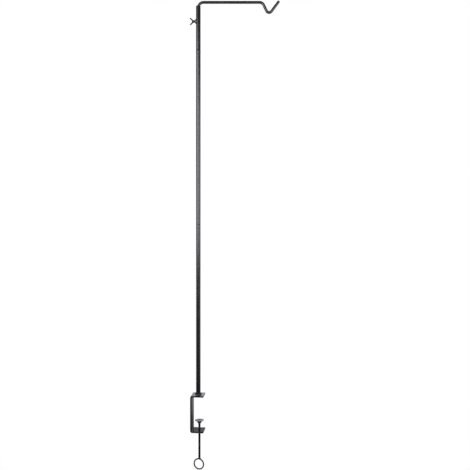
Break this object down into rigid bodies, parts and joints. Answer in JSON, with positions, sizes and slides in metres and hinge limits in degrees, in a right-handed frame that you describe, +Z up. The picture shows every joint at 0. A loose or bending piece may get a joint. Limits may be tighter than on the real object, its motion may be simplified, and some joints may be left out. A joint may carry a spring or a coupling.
{
  "type": "table hook",
  "caption": "Clamp-on table pole whose sliding, swivelling rod bends over into a level arm with a V-shaped hook",
  "frame": {"origin": "on the pole's axis, at the underside of the clamp's top jaw, which is the face that rests on the table top", "axes": "+Z up along the pole, +X from the clamp's back towards its open side and along the arm (the arm stands 5 degrees round from +X), Y across the clamp's strip"},
  "size_m": [0.2396, 0.0423, 1.2509],
  "materials": {
    "satin_black_paint": "satin black powder coat over steel",
    "black_plated_steel": "black zinc-plated steel, slightly shinier than the paint",
    "natural_nylon": "natural nylon"
  },
  "bodies": {
    "clamp_stand": {"clamp_frame": "satin_black_paint", "base_weld": "satin_black_paint", "pole_tube": "satin_black_paint", "tube_nut": "satin_black_paint", "nut_weld": "satin_black_paint"},
    "rod_carrier": {"rod_end_bush": "natural_nylon"},
    "hook_arm": {"hook_rod": "satin_black_paint"},
    "wing_screw": {"wing_screw": "black_plated_steel"},
    "pressure_pad": {"pressure_pad": "black_plated_steel"},
    "clamp_screw": {"clamp_screw": "black_plated_steel", "ring_handle": "black_plated_steel", "ring_weld": "black_plated_steel"}
  },
  "joints": [
    {"name": "height_slide", "type": "slide", "parent": "clamp_stand", "child": "rod_carrier", "axis": [0, 0, 1], "range_m": [0, 0.5]},
    {"name": "arm_swivel", "type": "hinge", "parent": "rod_carrier", "child": "hook_arm", "pos_m": [0.00075, 0, 0.447], "axis": [0, 0, 1], "continuous": true},
    {"name": "wing_screw_turn", "type": "hinge", "parent": "clamp_stand", "child": "wing_screw", "pos_m": [-0.014, 0, 0.9983], "axis": [-1, 0, 0], "range_deg": [0, 1080]},
    {"name": "pad_travel", "type": "slide", "parent": "clamp_stand", "child": "pressure_pad", "axis": [0, 0, 1], "range_m": [-0.016, 0.064]},
    {"name": "screw_spin", "type": "hinge", "parent": "pressure_pad", "child": "clamp_screw", "pos_m": [0.003, 0, -0.1], "axis": [0, 0, 1], "range_deg": [-5760, 23040]}
  ],
  "couplings": [
    {"joint": "screw_spin", "follows": "pad_travel", "rad_per_m": 6283.2}
  ]
}
